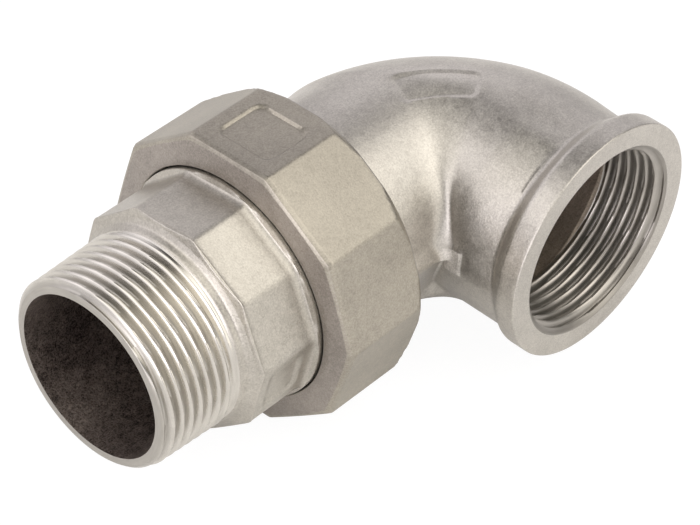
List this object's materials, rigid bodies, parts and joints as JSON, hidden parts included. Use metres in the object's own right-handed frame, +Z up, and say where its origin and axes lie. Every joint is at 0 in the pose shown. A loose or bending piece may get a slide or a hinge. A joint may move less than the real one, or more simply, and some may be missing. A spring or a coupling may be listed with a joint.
{
  "type": "union elbow pipe fitting",
  "caption": "90 degree steel union elbow: cast bend with a female pipe thread, and a ten-sided union nut that holds a male threaded tailpiece.",
  "frame": {"origin": "on the axis of the female port, where its thread begins behind the mouth chamfer", "axes": "the female port opens along -Y, the union leg and the male thread point along -X, and +Z is up"},
  "size_m": [0.1233, 0.0757, 0.0624],
  "materials": {
    "cast_body": "bead-blasted investment casting",
    "turned_tailpiece": "bead-blasted casting with a turned thread",
    "cast_nut": "bead-blasted casting with turned faces",
    "seal": "plain white"
  },
  "bodies": {
    "elbow": {"elbow_body": "cast_body"},
    "seal": {"seal_ring": "seal"},
    "tail": {"tailpiece": "turned_tailpiece"},
    "nut": {"union_nut": "cast_nut"}
  },
  "joints": [
    {"name": "union_draw", "type": "slide", "parent": "elbow", "child": "seal", "axis": [-1, 0, 0], "range_m": [0, 0.00801]},
    {"name": "tail_swivel", "type": "hinge", "parent": "seal", "child": "tail", "pos_m": [-0.0524, 0.0416, 0], "axis": [-1, 0, 0], "continuous": true},
    {"name": "nut_turn", "type": "hinge", "parent": "seal", "child": "nut", "pos_m": [-0.0564, 0.0416, 0], "axis": [-1, 0, 0], "range_deg": [0, 1440]}
  ],
  "couplings": [
    {"joint": "union_draw", "follows": "nut_turn", "m_per_rad": 0.00031831}
  ]
}
